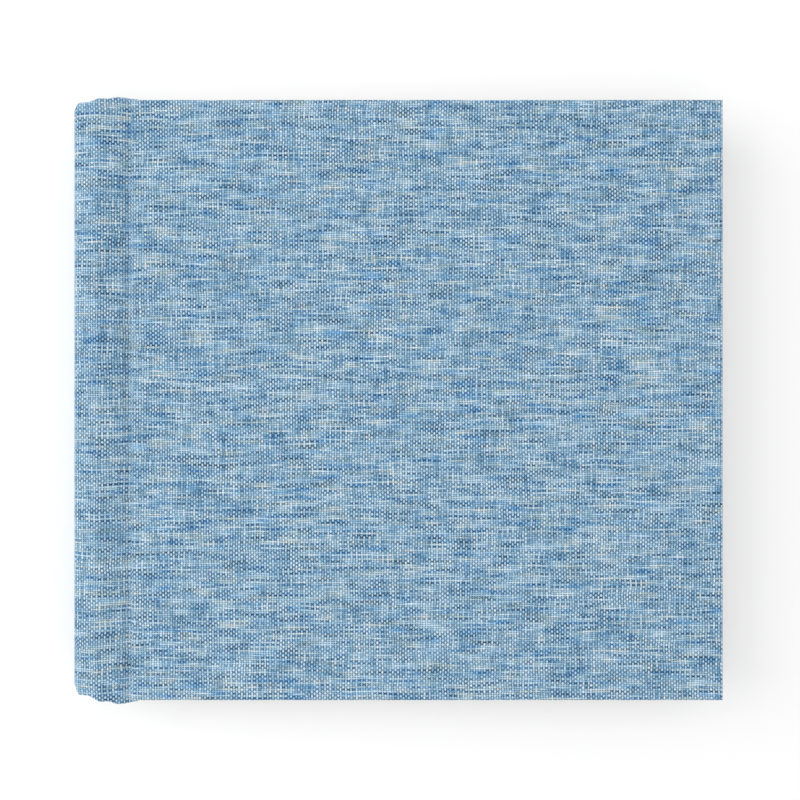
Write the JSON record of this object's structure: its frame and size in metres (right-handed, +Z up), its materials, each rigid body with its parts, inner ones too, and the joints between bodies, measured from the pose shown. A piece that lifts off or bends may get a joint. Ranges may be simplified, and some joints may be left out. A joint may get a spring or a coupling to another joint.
{
  "type": "scrapbook album",
  "caption": "Square cloth-covered scrapbook album with a raised spine shoulder and joint groove, its thick leaves held by hidden screw posts; covers and leaves swing at the joints.",
  "frame": {"origin": "centre of the bounding box's bottom face, under the closed album lying on its back cover", "axes": "+X from the spine to the fore edge, +Y from tail to head, +Z up out of the front cover"},
  "size_m": [0.3434, 0.318, 0.034],
  "materials": {
    "bookcloth": "plain-woven melange linen-look bookcloth, matt",
    "greyboard": "raw grey book board",
    "white_card": "uncoated white card, cut edges",
    "endpaper": "smooth uncoated endpaper",
    "kraft_paper": "brown kraft lining",
    "clear_film": "clear polypropylene film",
    "post_metal": "turned aluminium"
  },
  "bodies": {
    "binding": {"spine_cloth": "bookcloth", "spine_board": "greyboard", "spine_lining": "kraft_paper", "front_hinge_board": "greyboard", "back_hinge_board": "greyboard", "front_joint_cloth": "bookcloth", "back_joint_cloth": "bookcloth", "binding_flaps": "greyboard", "post_barrels": "post_metal", "post_screws": "post_metal", "leaf_binding_strips": "white_card", "spacer_strips": "white_card"},
    "front_cover": {"front_cover_cloth": "bookcloth", "front_cover_board": "greyboard", "front_cover_filler": "endpaper", "front_endpaper": "endpaper"},
    "back_cover": {"back_cover_cloth": "bookcloth", "back_cover_board": "greyboard", "back_cover_filler": "endpaper", "back_endpaper": "endpaper"},
    "leaf_01": {"leaf_01_card": "white_card", "leaf_01_films": "clear_film"},
    "leaf_02": {"leaf_02_card": "white_card", "leaf_02_films": "clear_film"},
    "leaf_03": {"leaf_03_card": "white_card", "leaf_03_films": "clear_film"},
    "leaf_04": {"leaf_04_card": "white_card", "leaf_04_films": "clear_film"},
    "leaf_05": {"leaf_05_card": "white_card", "leaf_05_films": "clear_film"},
    "leaf_06": {"leaf_06_card": "white_card", "leaf_06_films": "clear_film"},
    "leaf_07": {"leaf_07_card": "white_card", "leaf_07_films": "clear_film"},
    "leaf_08": {"leaf_08_card": "white_card", "leaf_08_films": "clear_film"},
    "leaf_09": {"leaf_09_card": "white_card", "leaf_09_films": "clear_film"},
    "leaf_10": {"leaf_10_card": "white_card", "leaf_10_films": "clear_film"},
    "leaf_11": {"leaf_11_card": "white_card", "leaf_11_films": "clear_film"},
    "leaf_12": {"leaf_12_card": "white_card", "leaf_12_films": "clear_film"},
    "leaf_13": {"leaf_13_card": "white_card", "leaf_13_films": "clear_film"},
    "leaf_14": {"leaf_14_card": "white_card", "leaf_14_films": "clear_film"},
    "leaf_15": {"leaf_15_card": "white_card", "leaf_15_films": "clear_film"},
    "leaf_16": {"leaf_16_card": "white_card", "leaf_16_films": "clear_film"},
    "leaf_17": {"leaf_17_card": "white_card", "leaf_17_films": "clear_film"},
    "leaf_18": {"leaf_18_card": "white_card", "leaf_18_films": "clear_film"},
    "leaf_19": {"leaf_19_card": "white_card", "leaf_19_films": "clear_film"},
    "leaf_20": {"leaf_20_card": "white_card", "leaf_20_films": "clear_film"}
  },
  "joints": [
    {"name": "front_cover_open", "type": "hinge", "parent": "binding", "child": "front_cover", "pos_m": [-0.1387, 0, 0.0336], "axis": [0, -1, 0], "range_deg": [0, 180]},
    {"name": "back_cover_open", "type": "hinge", "parent": "binding", "child": "back_cover", "pos_m": [-0.1387, 0, -0.0004], "axis": [0, 1, 0], "range_deg": [0, 180]},
    {"name": "leaf_01_turn", "type": "hinge", "parent": "binding", "child": "leaf_01", "pos_m": [-0.1387, 0, 0.0336], "axis": [0, -1, 0], "range_deg": [0, 180]},
    {"name": "leaf_02_turn", "type": "hinge", "parent": "binding", "child": "leaf_02", "pos_m": [-0.1387, 0, 0.0336], "axis": [0, -1, 0], "range_deg": [0, 180]},
    {"name": "leaf_03_turn", "type": "hinge", "parent": "binding", "child": "leaf_03", "pos_m": [-0.1387, 0, 0.0336], "axis": [0, -1, 0], "range_deg": [0, 180]},
    {"name": "leaf_04_turn", "type": "hinge", "parent": "binding", "child": "leaf_04", "pos_m": [-0.1387, 0, 0.0336], "axis": [0, -1, 0], "range_deg": [0, 180]},
    {"name": "leaf_05_turn", "type": "hinge", "parent": "binding", "child": "leaf_05", "pos_m": [-0.1387, 0, 0.0336], "axis": [0, -1, 0], "range_deg": [0, 180]},
    {"name": "leaf_06_turn", "type": "hinge", "parent": "binding", "child": "leaf_06", "pos_m": [-0.1387, 0, 0.0336], "axis": [0, -1, 0], "range_deg": [0, 180]},
    {"name": "leaf_07_turn", "type": "hinge", "parent": "binding", "child": "leaf_07", "pos_m": [-0.1387, 0, 0.0336], "axis": [0, -1, 0], "range_deg": [0, 180]},
    {"name": "leaf_08_turn", "type": "hinge", "parent": "binding", "child": "leaf_08", "pos_m": [-0.1387, 0, 0.0336], "axis": [0, -1, 0], "range_deg": [0, 180]},
    {"name": "leaf_09_turn", "type": "hinge", "parent": "binding", "child": "leaf_09", "pos_m": [-0.1387, 0, 0.0336], "axis": [0, -1, 0], "range_deg": [0, 180]},
    {"name": "leaf_10_turn", "type": "hinge", "parent": "binding", "child": "leaf_10", "pos_m": [-0.1387, 0, 0.0336], "axis": [0, -1, 0], "range_deg": [0, 180]},
    {"name": "leaf_11_turn", "type": "hinge", "parent": "binding", "child": "leaf_11", "pos_m": [-0.1387, 0, -0.0004], "axis": [0, 1, 0], "range_deg": [0, 180]},
    {"name": "leaf_12_turn", "type": "hinge", "parent": "binding", "child": "leaf_12", "pos_m": [-0.1387, 0, -0.0004], "axis": [0, 1, 0], "range_deg": [0, 180]},
    {"name": "leaf_13_turn", "type": "hinge", "parent": "binding", "child": "leaf_13", "pos_m": [-0.1387, 0, -0.0004], "axis": [0, 1, 0], "range_deg": [0, 180]},
    {"name": "leaf_14_turn", "type": "hinge", "parent": "binding", "child": "leaf_14", "pos_m": [-0.1387, 0, -0.0004], "axis": [0, 1, 0], "range_deg": [0, 180]},
    {"name": "leaf_15_turn", "type": "hinge", "parent": "binding", "child": "leaf_15", "pos_m": [-0.1387, 0, -0.0004], "axis": [0, 1, 0], "range_deg": [0, 180]},
    {"name": "leaf_16_turn", "type": "hinge", "parent": "binding", "child": "leaf_16", "pos_m": [-0.1387, 0, -0.0004], "axis": [0, 1, 0], "range_deg": [0, 180]},
    {"name": "leaf_17_turn", "type": "hinge", "parent": "binding", "child": "leaf_17", "pos_m": [-0.1387, 0, -0.0004], "axis": [0, 1, 0], "range_deg": [0, 180]},
    {"name": "leaf_18_turn", "type": "hinge", "parent": "binding", "child": "leaf_18", "pos_m": [-0.1387, 0, -0.0004], "axis": [0, 1, 0], "range_deg": [0, 180]},
    {"name": "leaf_19_turn", "type": "hinge", "parent": "binding", "child": "leaf_19", "pos_m": [-0.1387, 0, -0.0004], "axis": [0, 1, 0], "range_deg": [0, 180]},
    {"name": "leaf_20_turn", "type": "hinge", "parent": "binding", "child": "leaf_20", "pos_m": [-0.1387, 0, -0.0004], "axis": [0, 1, 0], "range_deg": [0, 180]}
  ],
  "couplings": [
    {"joint": "leaf_01_turn", "follows": "front_cover_open", "ratio": 0.994},
    {"joint": "leaf_02_turn", "follows": "front_cover_open", "ratio": 0.988},
    {"joint": "leaf_03_turn", "follows": "front_cover_open", "ratio": 0.982},
    {"joint": "leaf_04_turn", "follows": "front_cover_open", "ratio": 0.976},
    {"joint": "leaf_05_turn", "follows": "front_cover_open", "ratio": 0.97},
    {"joint": "leaf_06_turn", "follows": "front_cover_open", "ratio": 0.964},
    {"joint": "leaf_07_turn", "follows": "front_cover_open", "ratio": 0.958},
    {"joint": "leaf_08_turn", "follows": "front_cover_open", "ratio": 0.952},
    {"joint": "leaf_09_turn", "follows": "front_cover_open", "ratio": 0.946},
    {"joint": "leaf_10_turn", "follows": "front_cover_open", "ratio": 0.94},
    {"joint": "leaf_11_turn", "follows": "back_cover_open", "ratio": 0.94},
    {"joint": "leaf_12_turn", "follows": "back_cover_open", "ratio": 0.946},
    {"joint": "leaf_13_turn", "follows": "back_cover_open", "ratio": 0.952},
    {"joint": "leaf_14_turn", "follows": "back_cover_open", "ratio": 0.958},
    {"joint": "leaf_15_turn", "follows": "back_cover_open", "ratio": 0.964},
    {"joint": "leaf_16_turn", "follows": "back_cover_open", "ratio": 0.97},
    {"joint": "leaf_17_turn", "follows": "back_cover_open", "ratio": 0.976},
    {"joint": "leaf_18_turn", "follows": "back_cover_open", "ratio": 0.982},
    {"joint": "leaf_19_turn", "follows": "back_cover_open", "ratio": 0.988},
    {"joint": "leaf_20_turn", "follows": "back_cover_open", "ratio": 0.994}
  ]
}
